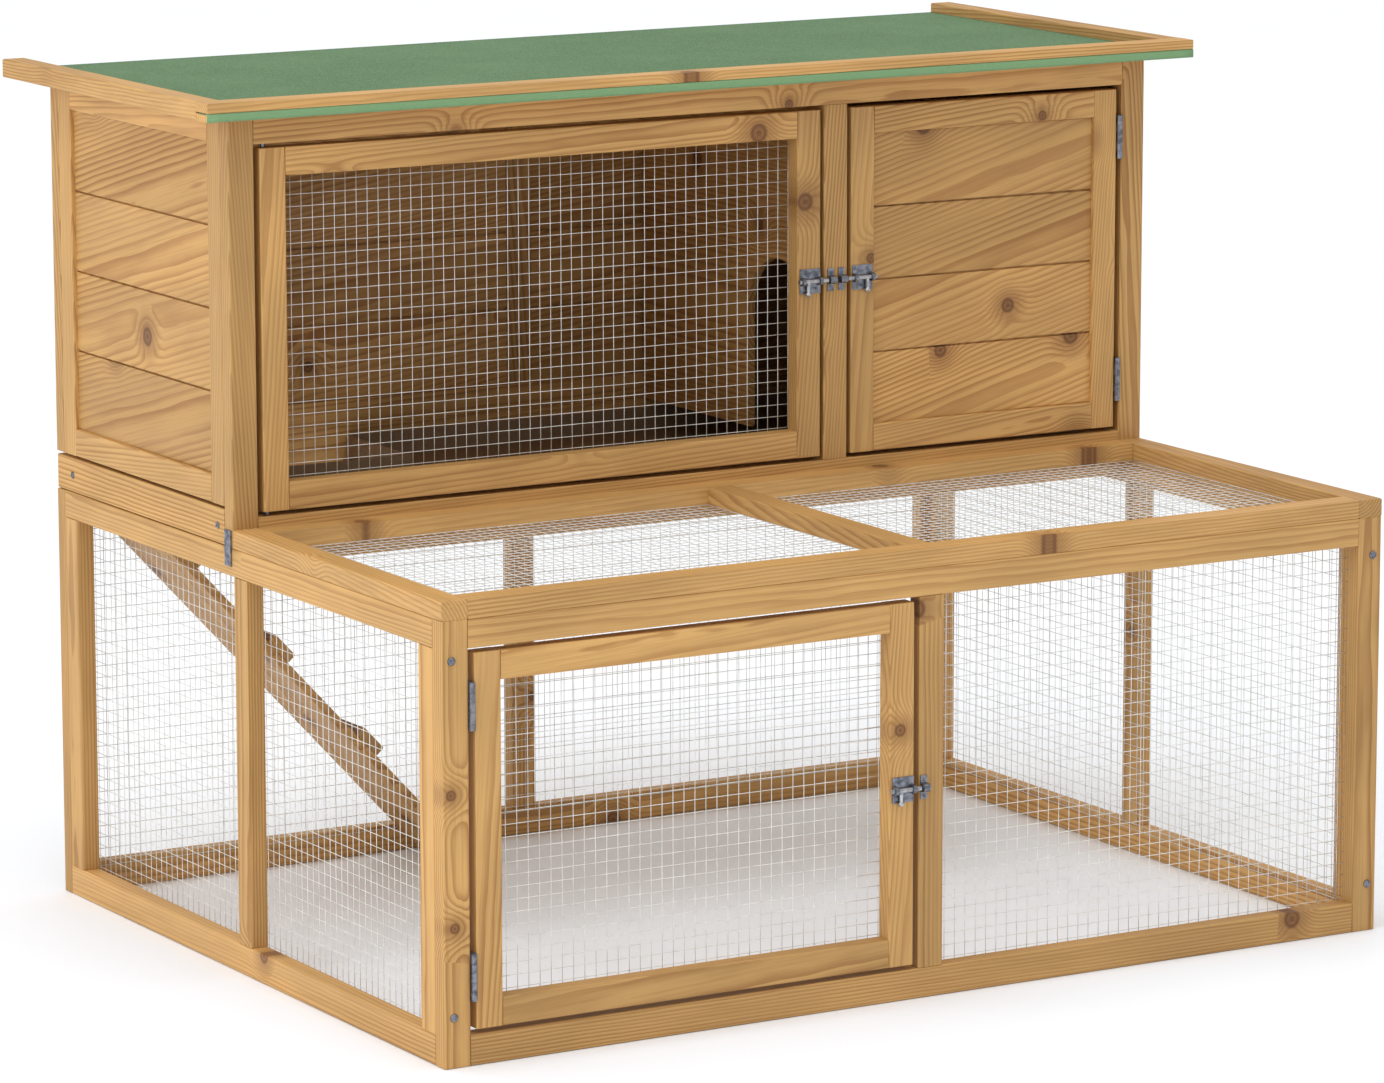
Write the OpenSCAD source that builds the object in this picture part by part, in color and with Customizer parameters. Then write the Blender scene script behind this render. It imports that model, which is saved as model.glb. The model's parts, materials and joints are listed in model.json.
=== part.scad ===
// Two-level rabbit hutch: a wire-mesh run below, a house on its back half.
// X is across the front, Y runs to the back, Z is up. Sizes are in millimetres.

/* [Run] */
// Outside width of the run and of the house
run_w = 1150; // [900:10:1500]
// Depth of the run from its front to its back
run_d = 896; // [760:2:1200]
// Height of the run's side panels
run_h = 457; // [380:1:600]
// Height of the rails that stand on the ground
foot_rail_h = 32; // [26:1:45]
// Depth of the lid, which is also where the house begins
lid_d = 460; // [380:2:560]
// Thickness of the lid's members
lid_t = 20; // [16:1:28]
// Width of the doorway in the run's front, stile to mullion
run_doorway_w = 531; // [400:1:620]

/* [House] */
// Height of the house walls above the run
house_h = 455; // [360:1:600]
// Width of the house's left doorway, post to mullion
mesh_doorway_w = 697; // [520:1:760]
// Height of the house's front sill
sill_h = 31; // [26:1:40]
// Height of the slot that the tray slides in, at the left wall
tray_slot_h = 42.5; // [38:0.5:60]
// Thickness of the house floor
floor_t = 5; // [4:0.5:10]
// Thickness of the dividing wall
divider_t = 9; // [6:1:15]
// Width of the doorway in the dividing wall
arch_w = 130; // [100:1:180]
// Height of that doorway, from the wall's lower edge
arch_h = 198; // [150:1:260]
// Distance from the house front to the near side of that doorway
arch_from_front = 50; // [40:1:120]

/* [Timber] */
// Face width of every frame member
rail_w = 30; // [26:1:38]
// Thickness of every frame member
rail_t = 20; // [16:1:26]
// Thickness of the wall and door boards
board_t = 10; // [7:1:12]
// How far the boards sit behind the frame's face
board_recess = 5; // [2:1:6]
// Boards in each wall and in the solid door
board_count = 4; // [3:1:6]
// Gap between two boards at their face
board_gap = 2; // [1:0.5:4]

/* [Doors] */
// Gap on the hinge side of a hinged door
hinge_gap = 7; // [6:0.25:9]
// Gap on the bolt side of every door
bolt_gap = 5; // [3:0.5:8]
// Gap above every door
door_top_gap = 5; // [3:0.5:9]
// Gap below every door
door_foot_gap = 5; // [3:0.5:9]
// Thickness of a hinge leaf
leaf_t = 1.2; // [0.8:0.1:1.6]
// Length of a door hinge
hinge_l = 48; // [36:1:64]
// Distance from a door's end to the middle of its hinge
hinge_inset = 54; // [40:1:80]
// Radius of a hinge barrel
barrel_r = 3.2; // [2.8:0.1:3.4]
// Radius of a hinge pin
pin_r = 1.5; // [1.2:0.1:1.8]
// Distance from the wide door's edge to its pivot pins
pivot_inset = 8; // [6:0.5:12]

/* [Bolts] */
// Diameter of the sliding rod
rod_d = 5; // [4:0.5:7]
// Width of the bolt plate, along the rod
bolt_plate_w = 26; // [24:1:34]
// Height of the bolt plate
bolt_plate_h = 27; // [20:1:36]
// How far the rod moves from the drawn place until it is locked
bolt_throw = 10; // [8:0.5:12]
// Gap between the rod's end and the keeper at rest
bolt_rest_gap = 2; // [1:0.5:3]
// Width of the keeper, along the rod
keeper_w = 8; // [6:1:10]

/* [Wire mesh] */
// Spacing of the wires
mesh_pitch = 13; // [10:0.5:26]
// Only every wire counted by this number is drawn
wire_step = 4; // [1:1:6]
// Thickness of the wire
wire_d = 1.2; // [0.8:0.1:2]
// How far the mesh laps behind its frame
mesh_lap = 5; // [3:0.5:8]

/* [Ramp] */
// Width of the ramp
ramp_w = 140; // [110:1:180]
// Thickness of the ramp board
ramp_t = 10; // [8:1:14]
// Slope of the ramp below level, in degrees
ramp_slope = 47; // [40:1:52]
// Length of the hole in the floor
ramp_hole_l = 325; // [280:1:380]
// Clearance beside the ramp
ramp_side_gap = 5; // [3:1:12]
// Spacing of the treads along the ramp
tread_pitch = 160; // [90:5:200]
// Number of treads
tread_count = 4; // [2:1:5]
// Height of a tread
tread_h = 12; // [6:1:14]
// Width of a tread along the ramp
tread_w = 36; // [15:1:45]

/* [Tray] */
// Height of the wooden strip on the tray's end
tray_front_h = 38; // [34:0.5:52]
// Height of the tray's rim
tray_rim_h = 27; // [20:1:30]
// Thickness of the tray's sheet
tray_t = 1.5; // [1.2:0.1:3]
// Clearance beside the tray
tray_gap = 4; // [2:0.5:8]

/* [Roof] */
// How far the roof reaches past each side wall
roof_side = 41; // [20:1:80]
// How far the roof reaches past the front
roof_front = 37; // [20:1:80]
// How far the roof reaches past the back
roof_back = 33; // [26:1:80]
// Height of the roof's side trims
roof_trim_h = 20; // [16:1:32]
// Width of the roof's trims
roof_trim_w = 27; // [20:1:40]
// Thickness of the roof board
roof_board_t = 8; // [6:1:12]
// Thickness of the felt
felt_t = 1.5; // [1:0.1:2.5]

/* [Hidden] */
$fn = 32;

// levels and lines that several pieces share
house_z = run_h;
house_top = run_h + house_h;
house_y = lid_d;
wall_y = house_y + rail_t;
back_y = run_d - rail_t;
in_l = rail_t;
in_r = run_w - rail_t;
pin_gap = 0.05;
seat_gap = 0.3;
joint = 0.1;
rail_z = run_h - rail_w;

// run door
rd_x0 = rail_w + hinge_gap;
rd_mull_x = rail_w + run_doorway_w;
rd_x1 = rd_mull_x - bolt_gap - 1.5;
rd_z0 = foot_rail_h + door_foot_gap;
rd_z1 = rail_z - door_top_gap;

// house doors
hd_z0 = house_z + sill_h + door_foot_gap;
hd_z1 = house_top - rail_w - door_top_gap;
md_x0 = rail_w + hinge_gap;
md_mull_x = rail_w + mesh_doorway_w;
md_x1 = md_mull_x - bolt_gap + 0.5;
sd_x0 = md_mull_x + rail_w + bolt_gap;
sd_post_x = run_w - rail_w;
sd_x1 = sd_post_x - hinge_gap;
pivot_x = md_x0 + pivot_inset;
pivot_y = house_y + rail_t / 2;

// hinges
axis_off = hinge_gap / 2;
leaf_w = rail_t - 3;
knuckles = 5;
knuckle_gap = 0.3;
axis_y = -1.2;
roof_axis_y = run_d + axis_off;
roof_axis_z = house_top - axis_off;
roof_hinge_xs = [run_w * 0.18, run_w * 0.82];
roof_hinge_l = 60;

// ramp
ramp_y1 = back_y - ramp_side_gap;
ramp_y0 = ramp_y1 - ramp_w;
ramp_ax = in_l + axis_off;
ramp_az = run_h - 21;
ramp_hinge_l = 70;
hole_x = in_l + ramp_hole_l;
hole_y = ramp_y0 - ramp_side_gap;
along = [cos(ramp_slope), -sin(ramp_slope)];
across = [sin(ramp_slope), cos(ramp_slope)];
foot_z = 1;
function ramp_at(s, n) = [ramp_ax, ramp_az] + s * along + n * across;
function ramp_run(n) = (ramp_az + n * across[1] - foot_z) / sin(ramp_slope);

// tray
slot_top = house_z + tray_slot_h;
floor_top = house_z + floor_t;
tray_z = floor_top + seat_gap;
tray_x0 = in_l - 0.5;
tray_x1 = in_r - 25;
tray_y0 = wall_y + tray_gap;
tray_y1 = back_y - tray_gap;
tray_notch_x = hole_x + tray_gap;
tray_notch_y = hole_y - tray_gap;

// bolts
lug_w = 4;
lug_h = rod_d + 4;
plate_t = 1.2;
rod_y = plate_t + rod_d / 2 + 1;
rod_gap = 0.1;
eye = rod_d / 2 + 0.3;
knob_d = 4;
proud = rod_y + lug_h / 2;
y_mid = (run_d + roof_back - proud) / 2;
run_bolt_z = run_h / 2 - 3;
house_bolt_z = (hd_z0 + hd_z1) / 2 + 4;

// corner bolts
head_r = 4.5;
head_t = 2.4;
shank_r = 2.5;
hole_gap = 0.2;
corner_x = 11;
corner_zs = [52, rail_z - 11];

wood = [0.80, 0.62, 0.38];
wood_b = [0.74, 0.56, 0.33];
steel = [0.70, 0.71, 0.73];
wire = [0.82, 0.83, 0.84];
green = [0.28, 0.42, 0.30];

module place() translate([-run_w / 2, -y_mid, 0]) children();

// a box between two corners
module box(a, b) translate(a) cube(b - a);

// ---- wire mesh: a flat grid in the XY plane, wires at true places ----
function wires(l) = [for (p = [mesh_pitch / 2 : mesh_pitch * wire_step : l - wire_d]) p];

module grid(w, h) {
  cells_x = concat([0], [for (p = wires(w)) if (p > 4 && p < w - 4) p], [w - wire_d]);
  cells_y = concat([0], [for (p = wires(h)) if (p > 4 && p < h - 4) p], [h - wire_d]);
  linear_extrude(wire_d) difference() {
    square([w, h]);
    for (i = [0 : len(cells_x) - 2]) {
      for (j = [0 : len(cells_y) - 2]) {
        translate([cells_x[i] + wire_d, cells_y[j] + wire_d])
          square([cells_x[i + 1] - cells_x[i] - wire_d, cells_y[j + 1] - cells_y[j] - wire_d]);
      }
    }
  }
}

// upright grid facing front, its lower left corner at p, its near face at p.y
module grid_xz(p, w, h) translate(p + [0, wire_d, 0]) rotate([90, 0, 0]) grid(w, h);

// upright grid along Y, its low near corner at p, its left face at p.x
module grid_yz(p, w, h) translate(p) rotate([90, 0, 90]) grid(w, h);

// ---- hinges: the axis is local Z, plates lie on planes x = -axis_off and +axis_off ----
module leaf(l, fixed) {
  step = l / knuckles;
  difference() {
    union() {
      for (k = [0 : knuckles - 1]) {
        if ((k % 2 == 0) == fixed) {
          translate([0, 0, k * step + (k == 0 ? 0 : knuckle_gap / 2)])
            cylinder(r = barrel_r, h = step - (k == 0 || k == knuckles - 1 ? 0.5 : 1) * knuckle_gap);
          translate([-axis_off, 0, k * step + (k == 0 ? 0 : knuckle_gap / 2)])
            cube([leaf_t, barrel_r + 1, step - (k == 0 || k == knuckles - 1 ? 0.5 : 1) * knuckle_gap]);
        }
      }
      translate([-axis_off, barrel_r + 0.6, 0]) cube([leaf_t, leaf_w - barrel_r - 0.6, l]);
    }
    translate([0, 0, -1]) cylinder(r = pin_r + pin_gap, h = l + 2);
  }
}

module leaf_fixed(l) translate([0, 0, -l / 2]) leaf(l, true);

module leaf_moving(l) mirror([1, 0, 0]) translate([0, 0, -l / 2]) leaf(l, false);

module hinge_pin(l) {
  translate([0, 0, -l / 2]) cylinder(r = pin_r, h = l + 0.6);
  translate([0, 0, l / 2]) cylinder(r = barrel_r - 0.6, h = 1);
}

module at_run_hinges() for (z = [rd_z0 + hinge_inset, rd_z1 - hinge_inset])
  translate([rail_w + axis_off, axis_y, z]) children();

module at_solid_hinges() for (z = [hd_z0 + hinge_inset, hd_z1 - hinge_inset])
  translate([sd_post_x - axis_off, house_y + axis_y, z]) mirror([1, 0, 0]) children();

module at_roof_hinges() for (x = roof_hinge_xs)
  translate([x, roof_axis_y, roof_axis_z]) children();

// ---- barrel bolts: local X along the rod, local Y towards the door, Z up ----
module bolt_plate() {
  difference() {
    union() {
      translate([0, -plate_t, -bolt_plate_h / 2]) cube([bolt_plate_w, plate_t, bolt_plate_h]);
      for (x = [0, bolt_plate_w - lug_w]) {
        translate([x, -rod_y, -lug_h / 2]) cube([lug_w, rod_y, lug_h]);
        translate([x, -rod_y, 0]) rotate([0, 90, 0]) cylinder(d = lug_h, h = lug_w);
      }
    }
    translate([-1, -rod_y, 0]) rotate([0, 90, 0]) cylinder(r = rod_d / 2 + rod_gap, h = bolt_plate_w + 2);
  }
}

module bolt_rod(reach) {
  knob_x = lug_w + knob_d / 2 + 2.5;
  translate([-3, -rod_y, 0]) rotate([0, 90, 0]) cylinder(d = rod_d, h = bolt_plate_w + 3 + reach);
  translate([knob_x, -rod_y, -12]) cylinder(d = knob_d, h = 12);
  translate([knob_x, -rod_y, -14]) sphere(d = 6.5);
}

module keeper() {
  difference() {
    union() {
      translate([0, -plate_t, -12.5]) cube([keeper_w, plate_t, 25]);
      translate([0, -rod_y, -lug_h / 2]) cube([keeper_w, rod_y, lug_h]);
      translate([0, -rod_y, 0]) rotate([0, 90, 0]) cylinder(d = lug_h, h = keeper_w);
    }
    translate([-1, -rod_y - eye, -eye]) cube([keeper_w + 2, rod_y + eye - plate_t, 2 * eye]);
  }
}

run_reach = rd_mull_x + 1 - rd_x1 + 1 - bolt_rest_gap;
mesh_reach = md_mull_x + 4 - md_x1 + 1 - bolt_rest_gap;
solid_reach = sd_x0 - (md_mull_x + rail_w - 4) + 1 - bolt_rest_gap;
module at_run_bolt() translate([rd_x1 - 1 - bolt_plate_w, 0, run_bolt_z]) children();
module at_mesh_bolt() translate([md_x1 - 1 - bolt_plate_w, house_y, house_bolt_z]) children();
module at_solid_bolt() translate([sd_x0 + 1 + bolt_plate_w, house_y, house_bolt_z])
  mirror([1, 0, 0]) children();

// ---- run ----
module corner_holes() for (x = [corner_x, run_w - corner_x]) for (z = corner_zs)
  translate([x, -1, z]) rotate([-90, 0, 0]) cylinder(r = shank_r + hole_gap, h = 42);

module back_corner_holes() for (x = [corner_x, run_w - corner_x]) for (z = corner_zs)
  translate([x, run_d - 41, z]) rotate([-90, 0, 0]) cylinder(r = shank_r + hole_gap, h = 42);

module run_front_frame() color(wood) {
  difference() {
    union() {
      box([0, 0, 0], [rail_w, rail_t, run_h]);
      box([run_w - rail_w, 0, 0], [run_w, rail_t, run_h]);
    }
    corner_holes();
  }
  rail(0, rail_z, run_h);
  rail(0, 0, foot_rail_h);
  box([rd_mull_x, 0, foot_rail_h + joint], [rd_mull_x + rail_w, rail_t, rail_z - joint]);
}

// a rail across the run between the end stiles
module rail(y, z0, z1) box([rail_w + joint, y, z0], [run_w - rail_w - joint, y + rail_t, z1]);

module run_back_frame() color(wood) {
  difference() {
    union() {
      box([0, back_y, 0], [rail_w, run_d, run_h]);
      box([run_w - rail_w, back_y, 0], [run_w, run_d, run_h]);
    }
    back_corner_holes();
  }
  rail(back_y, rail_z, run_h);
  rail(back_y, 0, foot_rail_h);
  box([rd_mull_x, back_y, foot_rail_h + joint], [rd_mull_x + rail_w, run_d, rail_z - joint]);
}

module side_frame() {
  box([0, rail_t, rail_z], [rail_t, back_y, run_h]);
  box([0, rail_t, 0], [rail_t, back_y, foot_rail_h]);
  z0 = foot_rail_h + joint;
  z1 = rail_z - joint;
  box([0, rail_t, z0], [rail_t, rail_t + rail_w, z1]);
  box([0, back_y - rail_w, z0], [rail_t, back_y, z1]);
  box([0, lid_d - rail_w, z0], [rail_t, lid_d, z1]);
}

module run_left_frame() color(wood_b) difference() {
  side_frame();
  corner_holes();
  back_corner_holes();
}

module run_right_frame() color(wood_b) difference() {
  translate([run_w, 0, 0]) mirror([1, 0, 0]) side_frame();
  corner_holes();
  back_corner_holes();
}

module run_front_mesh() color(wire)
  grid_xz([rd_mull_x + rail_w - mesh_lap, rail_t, foot_rail_h - mesh_lap],
    sd_post_x - rd_mull_x - rail_w + 2 * mesh_lap, rail_z - foot_rail_h + 2 * mesh_lap);

module run_left_mesh() color(wire)
  grid_yz([in_l, rail_t + rail_w - mesh_lap, foot_rail_h - mesh_lap],
    back_y - rail_t - 2 * rail_w + 2 * mesh_lap, rail_z - foot_rail_h + 2 * mesh_lap);

module run_right_mesh() color(wire)
  grid_yz([in_r - wire_d, rail_t + rail_w - mesh_lap, foot_rail_h - mesh_lap],
    back_y - rail_t - 2 * rail_w + 2 * mesh_lap, rail_z - foot_rail_h + 2 * mesh_lap);

module run_back_mesh() color(wire)
  grid_xz([rail_w - mesh_lap, back_y - wire_d, foot_rail_h - mesh_lap],
    run_w - 2 * rail_w + 2 * mesh_lap, rail_z - foot_rail_h + 2 * mesh_lap);

module corner_bolt() {
  translate([0, 0, -head_t]) cylinder(r = head_r, h = head_t);
  cylinder(r = shank_r, h = 38);
}

module run_corner_bolts() color(steel) for (x = [corner_x, run_w - corner_x]) for (z = corner_zs) {
  translate([x, 0, z]) rotate([-90, 0, 0]) corner_bolt();
  translate([x, run_d, z]) rotate([90, 0, 0]) corner_bolt();
}

module lid_frame() color(wood) {
  box([0, 0, run_h], [rail_w, lid_d, run_h + lid_t]);
  box([run_w - rail_w, 0, run_h], [run_w, lid_d, run_h + lid_t]);
  x0 = rail_w + joint;
  x1 = run_w - rail_w - joint;
  box([x0, 0, run_h], [x1, rail_w, run_h + lid_t]);
  box([x0, lid_d - rail_w, run_h], [x1, lid_d, run_h + lid_t]);
  box([rd_mull_x, rail_w + joint, run_h], [rd_mull_x + rail_w, lid_d - rail_w - joint, run_h + lid_t]);
}

module lid_mesh() color(wire) {
  translate([rail_w, rail_w, run_h + seat_gap]) grid(rd_mull_x - rail_w, lid_d - 2 * rail_w);
  translate([rd_mull_x + rail_w, rail_w, run_h + seat_gap])
    grid(run_w - 2 * rail_w - rd_mull_x, lid_d - 2 * rail_w);
}

module cross_rail() color(wood_b)
  box([in_l, house_y + 1, run_h - rail_t], [in_r, house_y + 1 + rail_w, run_h]);

module floor_battens() color(wood_b) {
  y0 = house_y + 1 + rail_w;
  box([in_l, y0, run_h - rail_t], [in_l + rail_t, hole_y, run_h]);
  box([in_r - rail_t, y0, run_h - rail_t], [in_r, back_y, run_h]);
  box([hole_x, back_y - rail_t, run_h - rail_t], [in_r - rail_t - joint, back_y, run_h]);
}

// ---- house ----
module house_front_frame() color(wood) {
  top = house_top - rail_w;
  box([0, house_y, house_z], [rail_w, wall_y, house_top]);
  box([sd_post_x, house_y, house_z], [run_w, wall_y, house_top]);
  difference() {
    union() {
      rail(house_y, top, house_top);
      rail(house_y, house_z, house_z + sill_h);
    }
    translate([pivot_x, pivot_y, house_z + sill_h - 12]) cylinder(r = 2.5 + pin_gap, h = 20);
    translate([pivot_x, pivot_y, top - 1]) cylinder(r = 2.5 + pin_gap, h = 13);
  }
  box([md_mull_x, house_y, house_z + sill_h + joint], [md_mull_x + rail_w, wall_y, top - joint]);
}

module wall_side_frame(z0) {
  box([0, wall_y, z0], [rail_t, wall_y + rail_w, house_top]);
  box([0, back_y - rail_w, z0], [rail_t, back_y, house_top]);
  y0 = wall_y + rail_w + joint;
  y1 = back_y - rail_w - joint;
  box([0, y0, z0], [rail_t, y1, z0 + rail_w]);
  box([0, y0, house_top - rail_w], [rail_t, y1, house_top]);
}

// boards stacked up in Z from z0 to z1, each with a tongue on its upper edge;
// p is the near lower corner in plan, size is the wall's length, turn sets its direction
module boards(p, size, turn, z0, z1) {
  pitch = (z1 - z0) / board_count;
  translate([p[0], p[1], z0]) rotate([0, 0, turn]) mirror([0, turn == 0 ? 0 : 1, 0])
    for (k = [0 : board_count - 1]) {
      last = k == board_count - 1;
      translate([0, 0, k * pitch]) cube([size, board_t, pitch - (last ? 0 : board_gap)]);
      if (!last) translate([0, board_t * 0.35, (k + 1) * pitch - board_gap - 1])
        cube([size, board_t * 0.3, board_gap + 1 - joint]);
    }
}

module house_left_frame() color(wood) wall_side_frame(slot_top);

module house_right_frame() color(wood)
  translate([run_w, 0, 0]) mirror([1, 0, 0]) wall_side_frame(slot_top);

module house_left_boards() color(wood_b)
  boards([board_recess, wall_y + rail_w], back_y - wall_y - 2 * rail_w, 90,
    slot_top + rail_w, house_top - rail_w);

module house_right_boards() color(wood_b)
  boards([run_w - board_recess - board_t, wall_y + rail_w], back_y - wall_y - 2 * rail_w, 90,
    slot_top + rail_w, house_top - rail_w);

module house_base_rail() color(wood)
  box([in_r, wall_y, house_z], [run_w, back_y, slot_top]);

module house_back_frame() color(wood) {
  mid = run_w / 2;
  box([0, back_y, slot_top], [rail_w, run_d, house_top]);
  box([run_w - rail_w, back_y, slot_top], [run_w, run_d, house_top]);
  box([rail_t + 1, back_y, house_z], [run_w, run_d, slot_top - joint]);
  rail(back_y, slot_top, slot_top + rail_w);
  rail(back_y, house_top - rail_w, house_top);
  box([mid - rail_w / 2, back_y, slot_top + rail_w + joint],
    [mid + rail_w / 2, run_d, house_top - rail_w - joint]);
}

module house_back_boards() color(wood_b) {
  mid = run_w / 2;
  y = run_d - board_recess - board_t;
  for (x = [rail_w, mid + rail_w / 2])
    boards([x, y], mid - 1.5 * rail_w, 0, slot_top + rail_w, house_top - rail_w);
}

module house_floor() color(wood_b) translate([0, 0, house_z]) linear_extrude(floor_t)
  polygon([[in_l, wall_y], [in_r, wall_y], [in_r, back_y], [hole_x, back_y],
    [hole_x, hole_y], [in_l, hole_y]]);

// the dividing wall behind the mullion, with a round-topped doorway
module house_divider() color(wood_b) {
  x0 = md_mull_x + (rail_w - divider_t) / 2;
  w = back_y - wall_y;
  h = house_top - slot_top;
  translate([x0, wall_y, slot_top]) rotate([90, 0, 90]) linear_extrude(divider_t)
    difference() {
      square([w, h]);
      translate([arch_from_front - rail_t, 0]) {
        translate([0, -1]) square([arch_w, arch_h - arch_w / 2 + 1]);
        translate([arch_w / 2, arch_h - arch_w / 2]) circle(d = arch_w, $fn = 64);
      }
    }
}

module tie_plate() translate([-2, house_y + 3, run_h - 19]) cube([2, 14, 38]);

module tie_plates() color(steel) {
  tie_plate();
  translate([run_w, 0, 0]) mirror([1, 0, 0]) tie_plate();
}

// ---- hinge hardware that stays with the frames ----
module hinge_fixed_leaves() color(steel) {
  at_run_hinges() leaf_fixed(hinge_l);
  at_solid_hinges() leaf_fixed(hinge_l);
}

module hinge_pins() color(steel) {
  at_run_hinges() hinge_pin(hinge_l);
  at_solid_hinges() hinge_pin(hinge_l);
}

module bolt_keepers() color(steel) {
  translate([rd_mull_x + 1, 0, run_bolt_z]) keeper();
  translate([md_mull_x + 4, house_y, house_bolt_z]) keeper();
  translate([md_mull_x + rail_w - 4, house_y, house_bolt_z]) mirror([1, 0, 0]) keeper();
}

// steel pins in the sill and the top rail that the wide door turns on
module mesh_door_pivots() color(steel) {
  translate([pivot_x, pivot_y, house_z + sill_h - 12]) cylinder(r = 2.5, h = 12 + door_foot_gap + 14);
  translate([pivot_x, pivot_y, hd_z1 - 14]) cylinder(r = 2.5, h = 14 + door_top_gap + 12);
}

// ---- doors: two full-height stiles with rails between ----
module door_frame(x0, x1, y, z0, z1) {
  box([x0, y, z0], [x0 + rail_w, y + rail_t, z1]);
  box([x1 - rail_w, y, z0], [x1, y + rail_t, z1]);
  box([x0 + rail_w + joint, y, z0], [x1 - rail_w - joint, y + rail_t, z0 + rail_w]);
  box([x0 + rail_w + joint, y, z1 - rail_w], [x1 - rail_w - joint, y + rail_t, z1]);
}

module door_grid(x0, x1, y, z0, z1)
  grid_xz([x0 + rail_w - mesh_lap, y + rail_t, z0 + rail_w - mesh_lap],
    x1 - x0 - 2 * rail_w + 2 * mesh_lap, z1 - z0 - 2 * rail_w + 2 * mesh_lap);

module run_door_frame() color(wood_b) door_frame(rd_x0, rd_x1, 0, rd_z0, rd_z1);

module run_door_mesh() color(wire) door_grid(rd_x0, rd_x1, 0, rd_z0, rd_z1);

module run_door_leaves() color(steel) at_run_hinges() leaf_moving(hinge_l);

module run_bolt_plate() color(steel) at_run_bolt() bolt_plate();

module run_bolt() color(steel) at_run_bolt() bolt_rod(run_reach);

module mesh_door_frame() color(wood_b) difference() {
  door_frame(md_x0, md_x1, house_y, hd_z0, hd_z1);
  translate([pivot_x, pivot_y, hd_z0 - 1]) cylinder(r = 2.5 + pin_gap, h = 16);
  translate([pivot_x, pivot_y, hd_z1 - 15]) cylinder(r = 2.5 + pin_gap, h = 16);
}

module mesh_door_mesh() color(wire) door_grid(md_x0, md_x1, house_y, hd_z0, hd_z1);

module mesh_bolt_plate() color(steel) at_mesh_bolt() bolt_plate();

module mesh_bolt() color(steel) at_mesh_bolt() bolt_rod(mesh_reach);

module solid_door_frame() color(wood_b) door_frame(sd_x0, sd_x1, house_y, hd_z0, hd_z1);

module solid_door_boards() color(wood)
  boards([sd_x0 + rail_w, house_y + board_recess], sd_x1 - sd_x0 - 2 * rail_w, 0,
    hd_z0 + rail_w, hd_z1 - rail_w);

module solid_door_leaves() color(steel) at_solid_hinges() leaf_moving(hinge_l);

module solid_bolt_plate() color(steel) at_solid_bolt() bolt_plate();

module solid_bolt() color(steel) at_solid_bolt() bolt_rod(solid_reach);

// ---- tray: slides out to the left over the floor, notched round the ramp hole ----
function tray_outline(t) = [[tray_x0 + t, tray_y0 + t], [tray_x1 - t, tray_y0 + t],
  [tray_x1 - t, tray_y1 - t], [tray_notch_x + t, tray_y1 - t],
  [tray_notch_x + t, tray_notch_y - t], [tray_x0 + t, tray_notch_y - t]];

module tray_pan() color(steel) translate([0, 0, tray_z]) difference() {
  linear_extrude(tray_rim_h) polygon(tray_outline(0));
  translate([0, 0, tray_t]) linear_extrude(tray_rim_h) polygon(tray_outline(tray_t));
}

module tray_front() color(wood) difference() {
  box([0.5, wall_y + 1.5, house_z + seat_gap + 0.7],
    [tray_x0, run_d - 1.5, house_z + seat_gap + 0.7 + tray_front_h]);
  for (y = [wall_y + 17, back_y - 20])
    translate([0, y, house_z + 20]) rotate([0, 90, 0]) cylinder(r = 2 + hole_gap, h = tray_x0 - 2);
}

module tray_screws() color(steel) for (y = [wall_y + 17, back_y - 20]) {
  translate([-1, y, house_z + 20]) rotate([0, 90, 0]) cylinder(r = 4, h = 1.5);
  translate([-1, y, house_z + 20]) rotate([0, 90, 0]) cylinder(r = 2, h = tray_x0 - 2);
}

// ---- ramp ----
module ramp_board() color(wood_b) translate([0, ramp_y1, 0]) rotate([90, 0, 0])
  linear_extrude(ramp_w) polygon([ramp_at(3, axis_off), ramp_at(ramp_run(axis_off), axis_off),
    ramp_at(ramp_run(axis_off + ramp_t), axis_off + ramp_t), ramp_at(3, axis_off + ramp_t)]);

module ramp_treads() color(wood) translate([0, ramp_y1, 0]) rotate([90, 0, 0])
  linear_extrude(ramp_w) for (k = [0 : tread_count - 1]) {
    s = 66 + k * tread_pitch;
    n = axis_off + ramp_t + 0.05;
    if (s + tread_w / 2 < ramp_run(n) - 10)
      polygon([ramp_at(s - tread_w / 2, n), ramp_at(s + tread_w / 2, n),
        ramp_at(s + tread_w / 2, n + tread_h), ramp_at(s - tread_w / 2, n + tread_h)]);
  }

module at_ramp_hinge() translate([ramp_ax, (ramp_y0 + ramp_y1) / 2, ramp_az]) rotate([90, 0, 0]) children();

module ramp_fixed_leaf() color(steel) at_ramp_hinge() leaf_fixed(ramp_hinge_l);

// the moving leaf lies under the ramp board, turned to the ramp's slope
module ramp_leaf() color(steel) at_ramp_hinge() rotate([0, 0, 90 - ramp_slope])
  rotate([180, 0, 0]) leaf_moving(ramp_hinge_l);

module ramp_hinge_pin() color(steel) at_ramp_hinge() hinge_pin(ramp_hinge_l);

// ---- roof ----
rf_x0 = -roof_side;
rf_x1 = run_w + roof_side;
rf_y0 = house_y - roof_front;
rf_y1 = run_d + roof_back;
rf_lip = rf_y0 + roof_trim_w;

module roof_board() color(wood_b) translate([0, 0, house_top]) linear_extrude(roof_board_t)
  polygon([[rf_x0, rf_y0 + felt_t], [rf_x1, rf_y0 + felt_t], [rf_x1, rf_lip],
    [rf_x1 - roof_trim_w, rf_lip], [rf_x1 - roof_trim_w, rf_y1],
    [rf_x0 + roof_trim_w, rf_y1], [rf_x0 + roof_trim_w, rf_lip], [rf_x0, rf_lip]]);

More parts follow.
